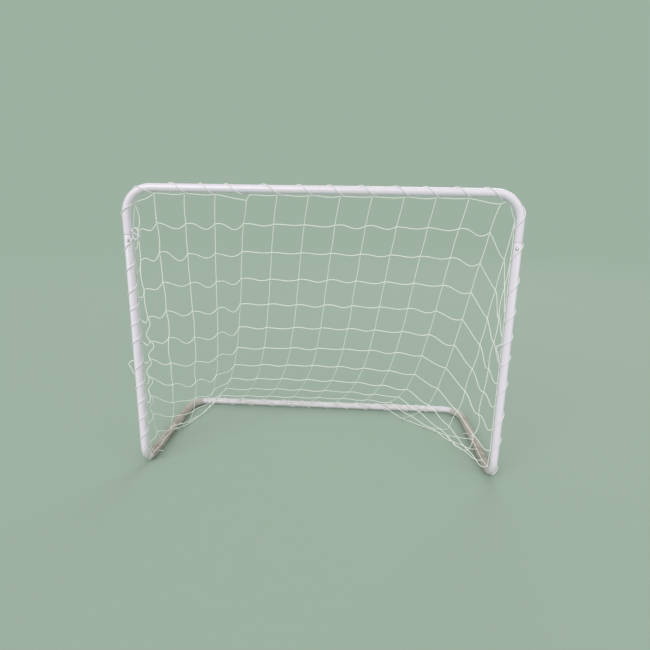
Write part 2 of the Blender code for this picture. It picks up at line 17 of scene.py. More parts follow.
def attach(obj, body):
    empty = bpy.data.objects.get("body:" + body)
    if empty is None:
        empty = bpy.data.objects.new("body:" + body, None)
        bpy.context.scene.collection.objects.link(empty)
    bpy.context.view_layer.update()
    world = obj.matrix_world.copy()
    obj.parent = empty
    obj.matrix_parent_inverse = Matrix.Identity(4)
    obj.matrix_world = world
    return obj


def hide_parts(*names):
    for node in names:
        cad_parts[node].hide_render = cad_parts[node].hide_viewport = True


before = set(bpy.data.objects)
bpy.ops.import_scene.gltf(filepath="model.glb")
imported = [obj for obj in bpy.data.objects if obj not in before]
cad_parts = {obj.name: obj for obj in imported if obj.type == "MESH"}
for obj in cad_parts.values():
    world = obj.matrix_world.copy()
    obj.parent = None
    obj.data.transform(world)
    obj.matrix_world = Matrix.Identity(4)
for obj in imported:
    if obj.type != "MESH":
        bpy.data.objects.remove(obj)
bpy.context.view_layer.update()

# %% [markdown]
# The camera comes first. It stands a little to the right of the goal's middle and looks slightly
# down, as the photograph does, and its lens gives the photograph's perspective. Its turn is made of
# three plain turns, to the side, down and a slight roll, because these can be read and changed.

# %% Camera
CAMERA_PLACE = Vector((0.1046, -1.7718, 0.8979))
CAMERA_YAW, CAMERA_PITCH, CAMERA_ROLL = 0.0547, 0.2470, 0.0171
CAMERA_LENS, CAMERA_SENSOR = 27.36, 36


def axis_turn(angle, axis):
    return Matrix.Rotation(angle, 3, axis)


bpy.ops.object.select_all(action="DESELECT")
bpy.ops.object.camera_add(location=CAMERA_PLACE)
camera = bpy.context.object
camera.name = "photo_camera"
camera.data.lens = CAMERA_LENS
camera.data.sensor_width = CAMERA_SENSOR
level_view = Matrix(((1, 0, 0), (0, 0, -1), (0, 1, 0)))
to_camera = (axis_turn(CAMERA_ROLL, "Z") @ axis_turn(CAMERA_PITCH, "X") @ level_view
             @ axis_turn(-CAMERA_YAW, "Z"))
right, down, ahead = to_camera
camera.rotation_euler = Matrix((right, -down, -ahead)).transposed().to_euler()
bpy.context.scene.camera = camera
print("the camera looks along", [round(value, 3) for value in ahead])

# %% [markdown]
# The sizes of the frame. The tube is 25 mm across. The crossbar and the back bar turn into their
# legs with an 80 mm bend, and the posts turn into the floor legs with a 55 mm bend. Each leg of the
# top and the rear tube ends in a narrower neck, which plugs into a side tube.

# %% Sizes of the tube work
X, Y, Z = Vector((1, 0, 0)), Vector((0, 1, 0)), Vector((0, 0, 1))
TUBE_R = 0.0125
TUBE_WALL = 0.0012
HALF_WIDTH = 0.5875
FRONT_Y, BACK_Y = -0.2725, 0.2725
BAR_Z, RAIL_Z = 0.9275, 0.0155
BAR_BEND, FOOT_BEND = 0.080, 0.055
TOP_LEG_REACH, REAR_LEG_REACH = 0.1395, 0.258
NECK_LENGTH, NECK_TAPER, NECK_R = 0.045, 0.0018, 0.01076
SEAT_GAP = 0.0003
TOP_RIM_Z = BAR_Z - TOP_LEG_REACH - NECK_TAPER - SEAT_GAP
REAR_RIM_Y = BACK_Y - REAR_LEG_REACH - NECK_TAPER - SEAT_GAP
BUTTON_INSET = 0.017
BUTTON_HOLE_R = 0.0044
print("top joints at z", round(TOP_RIM_Z, 4), "and rear joints at y", round(REAR_RIM_Y, 4))

# %% [markdown]
# Every cord on the goal is a tube of small section along a route. A curve with a round bevel would
# draw it too, but its UV map isn't in metres. So one helper sweeps a ring of points along any route,
# without twist. Its UV map runs once round the cord from 0 to 1, and along it in metres. The cords'
# materials read that map, so that their strands keep one size everywhere.

# %% Sweep a cord along a route
FIRST_SIDE, SPARE_SIDE = (0.31, 0.17, 0.93), (0.93, 0.17, 0.31)
TOO_PARALLEL = 0.3


def sweep(route, radius, sides, closed=False):
    """Corners, faces and corner UVs of a round cord along the route."""
    route = np.array([tuple(point) for point in route], float)
    count = len(route)
    if closed:
        ways = np.roll(route, -1, 0) - np.roll(route, 1, 0)
    else:
        ways = np.gradient(route, axis=0)
    ways /= np.linalg.norm(ways, axis=1)[:, None]
    across = np.cross(ways[0], FIRST_SIDE)
    if np.linalg.norm(across) < TOO_PARALLEL:
        across = np.cross(ways[0], SPARE_SIDE)
    along = np.concatenate([[0], np.cumsum(np.linalg.norm(np.diff(route, axis=0), axis=1))])
    angles = np.arange(sides) * 2 * pi / sides
    corners = []
    for place, way in zip(route, ways):
        across = across - way * across.dot(way)
        across /= np.linalg.norm(across)
        other = np.cross(way, across)
        circle = np.outer(np.cos(angles), across) + np.outer(np.sin(angles), other)
        corners.append(place + radius * circle)
    corners = np.concatenate(corners)
    rings = count if closed else count - 1
    ring, side = np.meshgrid(np.arange(rings), np.arange(sides), indexing="ij")
    after, beside = (ring + 1) % count, (side + 1) % sides
    faces = np.stack([ring * sides + side, ring * sides + beside,
                      after * sides + beside, after * sides + side], -1).reshape(-1, 4)
    low, high = along[ring], along[np.minimum(ring + 1, count - 1)]
    left, right_edge = side / sides, (side + 1) / sides
    uvs = np.stack([left, low, right_edge, low, right_edge, high, left, high], -1).reshape(-1, 2)
    faces, uvs = [tuple(face) for face in faces.tolist()], uvs.tolist()
    if not closed:
        faces += [tuple(range(sides))[::-1], tuple(range(sides * (count - 1), sides * count))]
        uvs += [[0.5, 0.0]] * sides + [[0.5, float(along[-1])]] * sides
    return corners.tolist(), faces, uvs


def cord_piece(name, sweeps):
    """One object from many swept cords, smooth shaded, with their UV map."""
    corners, faces, uvs = [], [], []
    for some_corners, some_faces, some_uvs in sweeps:
        first = len(corners)
        corners += some_corners
        faces += [tuple(first + index for index in face) for face in some_faces]
        uvs += some_uvs
    mesh = bpy.data.meshes.new(name)
    mesh.from_pydata(corners, [], faces)
    layer = mesh.uv_layers.new(name="cord_uv")
    layer.data.foreach_set("uv", np.array(uvs, np.float32).ravel())
    mesh.shade_smooth()
    mesh.update()
    piece = bpy.data.objects.new(name, mesh)
    bpy.context.collection.objects.link(piece)
    print(name, len(mesh.polygons), "faces")
    return piece


# %% [markdown]
# A route is often given by a few points only. Between two of them this helper follows a cubic curve
# that also looks at the point before and the point after, so that the route has no corners.

# %% Round a route
def smooth_route(points, steps):
    """The route through the points as a smooth curve, in that many steps from point to point."""
    points = [Vector(point) for point in points]
    padded = [points[0] * 2 - points[1], *points, points[-1] * 2 - points[-2]]
    route = []
    for before, start, end, after in zip(padded, padded[1:], padded[2:], padded[3:]):
        for step in range(steps):
            t = step / steps
            route.append(0.5 * ((2 * start) + (end - before) * t
                                + (2 * before - 5 * start + 4 * end - after) * t ** 2
                                + (3 * start - before - 3 * end + after) * t ** 3))
    return route + [points[-1]]


def route_length(points):
    return sum((Vector(b) - Vector(a)).length for a, b in zip(points, points[1:]))


# %% [markdown]
# The spare lacing cord. What is left of it at the left button is put up in a small hank of two and a
# half loops. A simulation could drop such loops, but not where the photograph has them, so they are
# drawn as a flat coil. The route is the model's own, in metres, and both ends go back to the post.

# %% The hank's route
LACE_DIAMETER = 0.0030
LACE_R = LACE_DIAMETER / 2
CORD_END_GAP = 0.00015
CORD_END = TUBE_R + CORD_END_GAP
TOP_BUTTON_Z = TOP_RIM_Z - BUTTON_INSET
HANK_WIDTH, HANK_HEIGHT, HANK_OUT, HANK_ABOVE_BUTTON = 0.0204, 0.0350, 0.0250, 0.0206
HANK_TURNS, HANK_FIRST_TURN, HANK_POINTS_PER_TURN = 2.58, 1 / 6, 16
HANK_PITCH, HANK_FRONT = 0.0036, -0.0052
START_FORWARD, START_DROP, START_RISE = 0.0008, 0.0075, 0.0008
LEAVE_ASIDE, LEAVE_DROP = 0.004, 0.0016
END_BACK, END_DROP = 0.002, 0.0035
left_post = Vector((-HALF_WIDTH, FRONT_Y, 0))


def hank_points(post):
    """From the post into the coil, round it, and back to the post."""
    centre = post + X * HANK_OUT + Z * (TOP_BUTTON_Z + HANK_ABOVE_BUTTON)
    coil = []
    for index in range(round(HANK_TURNS * HANK_POINTS_PER_TURN) + 1):
        turns = index / HANK_POINTS_PER_TURN
        angle = 2 * pi * (turns + HANK_FIRST_TURN)
        coil.append(centre - X * HANK_WIDTH / 2 * cos(angle)
                    + Z * HANK_HEIGHT / 2 * sin(angle) + Y * (HANK_FRONT + HANK_PITCH * turns))
    first, last = coil[0], coil[-1]
    start = Vector((post.x, first.y - START_FORWARD, first.z - START_DROP)) + X * CORD_END
    end = Vector((post.x, post.y + END_BACK, last.z - END_DROP)) + X * CORD_END
    lead_in = [start, start + X * LACE_DIAMETER + Z * START_RISE]
    lead_out = [last - X * LEAVE_ASIDE - Z * LEAVE_DROP, end + X * LACE_DIAMETER, end]
    return lead_in + coil + lead_out


hank_route = hank_points(left_post)
print("the hank's route has", len(hank_route), "points")

# %% [markdown]
# One slanting turn of cord round the hank keeps its loops together. It is swept as a closed ring and
# goes with the hank's cord. Each loose cord is swept along its route, and the model's piece that it
# stands for is hidden.

# %% The hank and its tie
LOOSE_STEPS, LOOSE_SIDES = 3, 10
TIE_R, TIE_SIDES, TIE_POINTS = 0.0012, 8, 28
TIE_SHIFT, TIE_HALF_WIDTH, TIE_SLANT = 0.0018, 0.0122, 0.0095


def loose_cord(name, points, node):
    route = smooth_route(points, LOOSE_STEPS)
    piece = cord_piece(name, [sweep(route, LACE_R, LOOSE_SIDES)])
    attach(piece, "goal")
    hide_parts(node)
    return piece


def hank_tie_points(post):
    depth = HANK_PITCH * HANK_TURNS / 2
    centre = (post + X * (HANK_OUT + TIE_SHIFT) + Z * (TOP_BUTTON_Z + HANK_ABOVE_BUTTON)
              + Y * (HANK_FRONT + depth))
    angles = [2 * pi * index / TIE_POINTS for index in range(TIE_POINTS)]
    return [centre + (X * TIE_HALF_WIDTH - Z * TIE_SLANT) * cos(angle)
            + Y * (depth + LACE_DIAMETER) * sin(angle) for angle in angles]


tie_sweep = sweep(hank_tie_points(left_post), TIE_R, TIE_SIDES, closed=True)
hank_tie = cord_piece("hank_tie", [tie_sweep])
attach(hank_tie, "goal")
hank = loose_cord("spare_cord_hank", hank_route, "lacing_hank")

# %% [markdown]
# About half-way down each post the lacing is slack, and a bight of it stands off the tube, to the
# left on both posts. The points are the model's own. Each is given by how far it is to the left of
# the post's axis, in front of it, and above the bight's lower end.

# %% The two slack bights
LEFT_BIGHT_Z, RIGHT_BIGHT_Z = 0.3335, 0.4095
LEFT_BIGHT = [
    (CORD_END, 0.0020, 0.0475), (0.0156, 0.0022, 0.0475), (0.0190, 0.0026, 0.0463),
    (0.0232, 0.0032, 0.0440), (0.0268, 0.0038, 0.0408), (0.0288, 0.0042, 0.0366),
    (0.0286, 0.0044, 0.0320), (0.0264, 0.0044, 0.0277), (0.0236, 0.0042, 0.0233),
    (0.0212, 0.0040, 0.0188), (0.0196, 0.0036, 0.0140), (0.0186, 0.0032, 0.0092),
    (0.0176, 0.0028, 0.0046), (0.0156, 0.0024, 0.0010), (CORD_END, 0.0020, 0.0000),
]
RIGHT_BIGHT = [
    (CORD_END, 0.0020, 0.0645), (0.0156, 0.0020, 0.0645), (0.0200, 0.0022, 0.0640),
    (0.0246, 0.0025, 0.0625), (0.0288, 0.0028, 0.0598), (0.0316, 0.0030, 0.0556),
    (0.0322, 0.0032, 0.0508), (0.0306, 0.0032, 0.0460), (0.0278, 0.0032, 0.0412),
    (0.0250, 0.0032, 0.0364), (0.0232, 0.0032, 0.0312), (0.0226, 0.0031, 0.0258),
    (0.0228, 0.0030, 0.0204), (0.0228, 0.0029, 0.0150), (0.0214, 0.0027, 0.0098),
    (0.0188, 0.0024, 0.0052), (0.0156, 0.0021, 0.0014), (CORD_END, 0.0020, 0.0000),
]
right_post = Vector((HALF_WIDTH, FRONT_Y, 0))


def bight_points(post, low_z, places):
    return [post - X * out - Y * forward + Z * (low_z + up) for out, forward, up in places]


left_bight = loose_cord("spare_cord_bight_left", bight_points(left_post, LEFT_BIGHT_Z, LEFT_BIGHT),
                        "lacing_bight_left")
right_bight = loose_cord("spare_cord_bight_right",
                         bight_points(right_post, RIGHT_BIGHT_Z, RIGHT_BIGHT),
                         "lacing_bight_right")

# %% [markdown]
# A bent tube is made as a tube bender makes it. A ring of points is the tube's end. It is extruded
# along each straight run and spun round the centre of each bend, which keeps its section round. A
# curve with a bevel would be quicker, but it gives no necks. A neck is a narrower ring that is
# scaled up over the taper.

# %% Helpers that bend a tube
TUBE_SIDES = 40
BEND_STEPS = 18


def turn_to(way):
    return way.to_track_quat("Z", "Y").to_euler()


def start_ring(name, place, way, radius):
    """A ring of points in edit mode, facing along the way."""
    bpy.ops.object.select_all(action="DESELECT")
    bpy.ops.mesh.primitive_circle_add(vertices=TUBE_SIDES, radius=radius, location=place,
                                      rotation=turn_to(way))
    piece = bpy.context.object
    piece.name = name
    bpy.ops.object.transform_apply(location=True, rotation=True, scale=True)
    bpy.ops.object.mode_set(mode="EDIT")
    bpy.ops.mesh.select_all(action="SELECT")
    return piece


def run_straight(step, scale=1.0):
    """Extrude the open end by a step, and widen or narrow it."""
    bpy.ops.mesh.extrude_edges_move(TRANSFORM_OT_translate={"value": tuple(step)})
    if scale != 1.0:
        bpy.ops.transform.resize(value=(scale, scale, scale))


def run_bend(centre, axis):
    """Spin the open end a quarter turn round a centre."""
    bpy.ops.mesh.spin(steps=BEND_STEPS, angle=pi / 2, center=tuple(centre), axis=tuple(axis),
                      dupli=False)


# %% [markdown]
# The skin of the tube then gets a real wall from Solidify, and its sawn rims are rounded a little by
# Bevel. The buttons' holes are drilled with Boolean. The doubles are merged and the normals made
# consistent before there is a wall, because later that would turn the wall's inner side round.

# %% Helpers that finish a tube
MERGE_DISTANCE = 0.00002
RIM_ROUNDING, RIM_SEGMENTS, RIM_ANGLE = 0.00035, 2, 1.1
DRILL_SIDES = 32
SMOOTH_ANGLE = 0.6


def select_only(piece):
    bpy.ops.object.select_all(action="DESELECT")
    bpy.context.view_layer.objects.active = piece
    piece.select_set(True)


def finish_tube(piece):
    bpy.ops.mesh.select_all(action="SELECT")
    bpy.ops.mesh.remove_doubles(threshold=MERGE_DISTANCE)
    bpy.ops.mesh.normals_make_consistent(inside=False)
    bpy.ops.object.mode_set(mode="OBJECT")
    wall = piece.modifiers.new("wall", "SOLIDIFY")
    wall.thickness = TUBE_WALL
    wall.offset = -1
    rounding = piece.modifiers.new("rounding", "BEVEL")
    rounding.width = RIM_ROUNDING
    rounding.segments = RIM_SEGMENTS
    rounding.limit_method = "ANGLE"
    rounding.angle_limit = RIM_ANGLE
    for modifier in ("wall", "rounding"):
        bpy.ops.object.modifier_apply(modifier=modifier)


def drill_button_hole(piece, place, way):
    """Drill through the near wall, where a clip's button stands out."""
    bpy.ops.object.select_all(action="DESELECT")
    bpy.ops.mesh.primitive_cylinder_add(vertices=DRILL_SIDES, radius=BUTTON_HOLE_R, depth=TUBE_R,
                                        location=place + way * TUBE_R, rotation=turn_to(way))
    drill = bpy.context.object
    select_only(piece)
    hole = piece.modifiers.new("hole", "BOOLEAN")
    hole.operation = "DIFFERENCE"
    hole.solver = "EXACT"
    hole.object = drill
    bpy.ops.object.modifier_apply(modifier="hole")
    bpy.data.objects.remove(drill, do_unlink=True)


def smooth_tube(piece):
    select_only(piece)
    bpy.ops.object.shade_smooth_by_angle(angle=SMOOTH_ANGLE)
    print(piece.name, len(piece.data.polygons), "faces")


# %% [markdown]
# The top tube is the crossbar with its two bends and short legs, and the rear tube is the same shape
# lying on the floor. So one function makes both. It starts at the end of the left neck.

# %% The two U tubes
def u_tube(name, foot, leg, reach, node):
    """A U of tube across the goal: foot is the bar's middle, leg the way that its legs point."""
    across = X * HALF_WIDTH
    neck_end = foot - across + leg * (reach + NECK_TAPER + NECK_LENGTH)
    piece = start_ring(name, neck_end, -leg, NECK_R)
    run_straight(-leg * NECK_LENGTH)
    run_straight(-leg * NECK_TAPER, TUBE_R / NECK_R)
    run_straight(-leg * (reach - BAR_BEND))
    run_bend(foot - across + X * BAR_BEND + leg * BAR_BEND, leg.cross(X))
    run_straight(2 * across - X * 2 * BAR_BEND)
    run_bend(foot + across - X * BAR_BEND + leg * BAR_BEND, leg.cross(X))
    run_straight(leg * (reach - BAR_BEND))
    run_straight(leg * NECK_TAPER, NECK_R / TUBE_R)
    run_straight(leg * NECK_LENGTH)
    finish_tube(piece)
    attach(piece, "goal")
    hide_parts(node)
    return piece


top_tube = u_tube("crossbar_tube", Vector((0, FRONT_Y, BAR_Z)), -Z, TOP_LEG_REACH, "top_tube")
rear_tube = u_tube("back_bar_tube", Vector((0, BACK_Y, RAIL_Z)), -Y, REAR_LEG_REACH, "rear_tube")

# %% [markdown]
# Each side tube is a post, the bend at its foot and the front half of the floor leg. Its two open
# ends are the sockets. The buttons' holes go through the side tube and the neck inside it, the upper
# ones on the inner front of the posts and the rear ones on top of the floor legs.

# %% The side tubes and the button holes
BUTTON_TURN = pi / 8
side_tubes = {}
for label, side in (("left", -1), ("right", 1)):
    post = X * side * HALF_WIDTH
    piece = start_ring(f"post_tube_{label}", post + Vector((0, FRONT_Y, TOP_RIM_Z)), -Z, TUBE_R)
    run_straight(-Z * (TOP_RIM_Z - RAIL_Z - FOOT_BEND))
    run_bend(post + Vector((0, FRONT_Y + FOOT_BEND, RAIL_Z + FOOT_BEND)), -X)
    run_straight(Y * (REAR_RIM_Y - FRONT_Y - FOOT_BEND))
    finish_tube(piece)
    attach(piece, "goal")
    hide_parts(f"side_tube_{label}")
    side_tubes[label] = piece
    facing = Vector((-sin(BUTTON_TURN) * side, -cos(BUTTON_TURN), 0))
    top_button = post + Vector((0, FRONT_Y, TOP_BUTTON_Z))
    rear_button = post + Vector((0, REAR_RIM_Y - BUTTON_INSET, RAIL_Z))
    for tube in (piece, top_tube):
        drill_button_hole(tube, top_button, facing)
    for tube in (piece, rear_tube):
        drill_button_hole(tube, rear_button, Z)
for tube in (top_tube, rear_tube, *side_tubes.values()):
    smooth_tube(tube)

# %% [markdown]
# The lacing ties the net to the tubes. It is one cord that spirals round the frame, up the left
# post, along the crossbar and down the right post, with about a turn for each mesh. To lead it round
# the bends too, a place on the frame is given by one number: the distance along the tube's axis from
# the crossbar's middle, to the right, or to the left where it is negative.

# %% The way round the frame
LACE_GAP = 0.0003
LACE_REACH = TUBE_R + LACE_GAP + LACE_R
BAR_BEND_LENGTH = BAR_BEND * pi / 2
FOOT_BEND_LENGTH = FOOT_BEND * pi / 2
POST_STRAIGHT = BAR_Z - BAR_BEND - RAIL_Z - FOOT_BEND
BAR_HALF = HALF_WIDTH - BAR_BEND
POST_START = BAR_HALF + BAR_BEND_LENGTH
LEG_START = POST_START + POST_STRAIGHT + FOOT_BEND_LENGTH
LEG_STRAIGHT = BACK_Y - FRONT_Y - BAR_BEND - FOOT_BEND
REAR_BEND_START = LEG_START + LEG_STRAIGHT


def frame_place(distance):
    """The tube's axis that far round the frame, with its front and its outer side."""
    past = abs(distance)
    front, outer = -Y, Z
    if past <= BAR_HALF:
        place = Vector((past, FRONT_Y, BAR_Z))
    elif past <= POST_START:
        turn = (past - BAR_HALF) / BAR_BEND
        outer = Vector((sin(turn), 0, cos(turn)))
        place = Vector((BAR_HALF, FRONT_Y, BAR_Z - BAR_BEND)) + outer * BAR_BEND
    elif past <= POST_START + POST_STRAIGHT:
        outer = X
        place = Vector((HALF_WIDTH, FRONT_Y, BAR_Z - BAR_BEND - (past - POST_START)))
    elif past <= LEG_START:
        turn = (past - POST_START - POST_STRAIGHT) / FOOT_BEND
        front, outer = Vector((0, -cos(turn), -sin(turn))), X
        place = Vector((HALF_WIDTH, FRONT_Y + FOOT_BEND, RAIL_Z + FOOT_BEND)) + front * FOOT_BEND
    elif past <= REAR_BEND_START:
        front, outer = -Z, X
        place = Vector((HALF_WIDTH, FRONT_Y + FOOT_BEND + past - LEG_START, RAIL_Z))
    else:
        turn = min((past - REAR_BEND_START) / BAR_BEND, pi / 2)
        front, outer = -Z, Vector((cos(turn), sin(turn), 0))
        place = Vector((HALF_WIDTH - BAR_BEND, BACK_Y - BAR_BEND, RAIL_Z)) + outer * BAR_BEND
    if distance < 0:
        place, outer, front = [Vector((-some.x, some.y, some.z)) for some in (place, outer, front)]
    return place, front, outer


def spiral(distances, turns):
    """A right-handed spiral round the frame: at a whole number of turns it crosses the front."""
    route = []
    for distance, turn in zip(distances, turns):
        place, front, outer = frame_place(distance)
        angle = 2 * pi * turn
        route.append(place + (front * cos(angle) - outer * sin(angle)) * LACE_REACH)
    return route


print("from the crossbar's middle to the rear bend it is", round(REAR_BEND_START, 3), "m")

# %% [markdown]
# Nobody laces evenly, so each crossing of the front of the tube has its own place, as the photograph
# shows it. The left post comes first, from its foot up, and on the posts the heights are turned into
# distances. Between two crossings the cord eases from one slope to the next.

# %% The lacing on the front frame
POST_TOP = BAR_Z - BAR_BEND + POST_START
LEFT_POST_HEIGHTS = (0.115, 0.180, 0.238, 0.295, 0.358, 0.448, 0.504, 0.554, 0.611, 0.684, 0.7525)
RIGHT_POST_HEIGHTS = (0.850, 0.761, 0.655, 0.564, 0.487, 0.419, 0.328, 0.221, 0.136)
LEFT_POST_CROSSINGS = [LEG_START - 0.022] + [POST_TOP - z for z in LEFT_POST_HEIGHTS]
RIGHT_POST_CROSSINGS = [POST_TOP - z for z in RIGHT_POST_HEIGHTS] + [LEG_START - 0.040]
BAR_CROSSINGS = [-0.617, -0.530, -0.418, -0.336, -0.256, -0.138, -0.038, 0.050, 0.144, 0.245, 0.329,
                 0.420, 0.507]
STEPS_PER_TURN = 22
LACE_SIDES = 8


def lace_between(crossings):
    crossings = np.array(crossings)
    last = len(crossings) - 1
    turns = np.linspace(0, last, last * STEPS_PER_TURN + 1)
    slopes = np.gradient(crossings, np.arange(len(crossings)))
    low = np.minimum(turns.astype(int), last - 1)
    t = turns - low
    start, end = crossings[low], crossings[low + 1]
    distances = (start * (1 + 2 * t) * (1 - t) ** 2 + end * t ** 2 * (3 - 2 * t)
                 + slopes[low] * t * (1 - t) ** 2 + slopes[low + 1] * t ** 2 * (t - 1))
    return spiral(distances, turns)


left_distances = [-distance for distance in LEFT_POST_CROSSINGS]
front_route = lace_between(left_distances + BAR_CROSSINGS + RIGHT_POST_CROSSINGS)
front_lacing = cord_piece("lacing_front", [sweep(front_route, LACE_R, LACE_SIDES)])
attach(front_lacing, "goal")
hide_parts("lacing_crossbar", "lacing_post_left", "lacing_post_right")
print("the front lacing takes", round(route_length(front_route), 2), "m of cord")

# %% [markdown]
# The cord on the back bar lies along the floor. Its underside is pressed flat where the goal stands
# on it, so corners that would be under the floor are lifted to it.

# %% The lacing on the back bar
BACK_CROSSINGS = [-0.492, -0.408, -0.321, -0.226, -0.136, -0.066, 0.015, 0.104, 0.188, 0.276, 0.366,
                  0.452, 0.495]


def rest_on_floor(piece):
    for vertex in piece.data.vertices:
        vertex.co.z = max(vertex.co.z, 0.0)


def round_back_bar(distance, turn):
    angle = 2 * pi * turn
    return Vector((distance, BACK_Y, RAIL_Z)) + (-Z * cos(angle) + Y * sin(angle)) * LACE_REACH


last = len(BACK_CROSSINGS) - 1
back_turns = np.linspace(0, last, last * STEPS_PER_TURN + 1)
back_distances = np.interp(back_turns, np.arange(len(BACK_CROSSINGS)), BACK_CROSSINGS)
back_route = [round_back_bar(distance, turn) for distance, turn in zip(back_distances, back_turns)]
back_lacing = cord_piece("lacing_back", [sweep(back_route, LACE_R, LACE_SIDES)])
rest_on_floor(back_lacing)
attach(back_lacing, "goal")
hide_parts("lacing_back_bar")

# %% [markdown]
# The rest of the cord is wound closely round the floor legs, turn against turn, from the foot bend
# into the rear bend. At each rear button the winding opens: there the cord runs along under the
# tube, and the close turns begin again behind it. On the right the opening also leaves the seam of
# the joint bare, and on the left the turns hide it. The winding could be a bump on a thicker tube,
# but its turns show along the leg's outline, so it is a real spiral.

# %% The windings on the floor legs
WINDING_PITCH = 0.00306
INTO_FOOT_BEND, INTO_REAR_BEND = 0.012, 0.62
WINDING_START = LEG_START - INTO_FOOT_BEND
WINDING_END = REAR_BEND_START + BAR_BEND_LENGTH * INTO_REAR_BEND
JOINT_PLACE = LEG_START + REAR_RIM_Y - FRONT_Y - FOOT_BEND
BUTTON_PLACE = JOINT_PLACE - BUTTON_INSET
CLEAR_OF_BUTTON, CLEAR_OF_SEAM = 0.0070, 0.0040
OPENINGS = {"left": (BUTTON_PLACE - CLEAR_OF_BUTTON, BUTTON_PLACE + CLEAR_OF_BUTTON),
            "right": (BUTTON_PLACE - CLEAR_OF_BUTTON, JOINT_PLACE + CLEAR_OF_SEAM)}
OPEN_TURN, OPEN_STEPS = 0.36, 10
WINDING_STEPS, WINDING_SIDES = 14, 6


def winding(label, side):
    """Close turns up to the opening, a part of a turn through it, and close turns to the end."""
    open_start, open_end = OPENINGS[label]
    first_turns = round((open_start - WINDING_START) / WINDING_PITCH) + 0.5 - OPEN_TURN / 2
    last_turns = (WINDING_END - open_end) / WINDING_PITCH
    marks = [0, first_turns, first_turns + OPEN_TURN, first_turns + OPEN_TURN + last_turns]
    places = [WINDING_START, open_start, open_end, WINDING_END]
    turns = np.linspace(0, marks[-1], int(marks[-1] * WINDING_STEPS))
    turns = np.sort(np.concatenate([turns, np.linspace(marks[1], marks[2], OPEN_STEPS)[1:-1]]))
    distances = np.interp(turns, marks, places)
    route = spiral(distances * side, (turns - marks[1] - OPEN_TURN / 2) * side)
    piece = cord_piece(f"winding_{label}", [sweep(route, LACE_R, WINDING_SIDES)])
    rest_on_floor(piece)
    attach(piece, "goal")
    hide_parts(f"lacing_rail_{label}")
    print(piece.name, "takes", round(route_length(route), 1), "m of cord")
    return piece


windings = [winding("left", -1), winding("right", 1)]

# %% [markdown]
# Where a length of cord ends, it is tied off and cut, and a short stiff tail of it is left standing
# out from the leg. The photograph shows three on the left leg and one on the right. All four are one
# curve, moved along the frame, which starts inside the winding so that no gap shows.

# %% The cut ends
TAIL_R, TAIL_SIDES, TAIL_SMOOTHING = 0.00125, 8, 3
TAIL_ROOT, TAIL_RISE = 0.88, 0.005
TAIL_PLACES = (-WINDING_START - 0.022, 0.030 - BUTTON_PLACE, -BUTTON_PLACE - 0.020,
               BUTTON_PLACE + 0.034)
TAIL_STEPS = [(0.0, 0.0, 0.0), (0.006, 0.003, 0.001), (0.012, 0.007, -0.001),
              (0.018, 0.013, -0.006)]


def cord_tail(distance):
    """It leaves the inner side of the leg and turns back and down: steps inwards, rearwards, up."""
    place, front, outer = frame_place(distance)
    start = place - outer * LACE_REACH * TAIL_ROOT - front * TAIL_RISE
    return smooth_route([start - outer * inwards + Y * rearwards + Z * up
                         for inwards, rearwards, up in TAIL_STEPS], TAIL_SMOOTHING)


tail_sweeps = [sweep(cord_tail(distance), TAIL_R, TAIL_SIDES) for distance in TAIL_PLACES]
tails = cord_piece("cord_tails", tail_sweeps)
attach(tails, "goal")

# %% [markdown]
# The net. Goal nets are knotted: upright and level cords cross in squares of about 100 mm, and the
# small hitch that holds each crossing leaves 95 mm of cord free to the next. Sixteen by eleven meshes
# are laced to the frame all round, more closely than their own width, so the net is slack. A cloth
# simulation would let it fall its own way, not the photograph's, so it is worked out as one surface:
# straight from the crossbar to the floor, drawn to the posts at its sides, and let down between them
# by its slack. Its four edges come first. The lower one is laced to the left floor leg and to the
# middle of the back bar, and lies loose on the floor on both sides of that.

# %% Where the net is laced
NET_MESH = 0.095
NET_COLUMNS, NET_ROWS = 16, 11
TOP_TIE_COLUMNS, TOP_TIE_PLACES = (0, 2, 12, 16), (-0.685, -0.498, 0.434, 0.827)
NET_STANDOFF = 0.01723
NET_LEFT_REACH, NET_RIGHT_REACH = -TOP_TIE_PLACES[0], TOP_TIE_PLACES[-1]
LEFT_FOOT_SHORT, LEFT_LEG_TIE, RIGHT_LEG_TIE = 0.020, 0.165, 0.190
LEFT_TIED_COLUMN, FIRST_BAR_COLUMN, LAST_BAR_COLUMN = 2, 5, 12
BAR_TIE_LEFT, BAR_TIE_RIGHT = 0.0175 - BAR_HALF, BAR_HALF - 0.2575
FLOOR_CLEARANCE = 0.0035
LOOSE_EDGE_DROP = 0.050


def frame_side(distance):
    """A place just inside the tube, that far round the frame, where the net's edge is laced."""
    place, front, outer = frame_place(distance)
    round_bend = min(max((abs(distance) - BAR_HALF) / BAR_BEND_LENGTH, 0), 1)
    return place + (-front * round_bend - outer).normalized() * NET_STANDOFF


def net_top(u):
    return frame_side(float(np.interp(u * NET_COLUMNS, TOP_TIE_COLUMNS, TOP_TIE_PLACES)))


def net_left(v):
    return frame_side(-NET_LEFT_REACH - (LEG_START - LEFT_FOOT_SHORT - NET_LEFT_REACH) * v)


def net_right(v):
    return frame_side(NET_RIGHT_REACH + (LEG_START + RIGHT_LEG_TIE - NET_RIGHT_REACH) * v)


def loose_edge(start, end, t):
    place = start.lerp(end, t)
    place.z = max(place.z - LOOSE_EDGE_DROP * sin(pi * t), FLOOR_CLEARANCE)
    return place


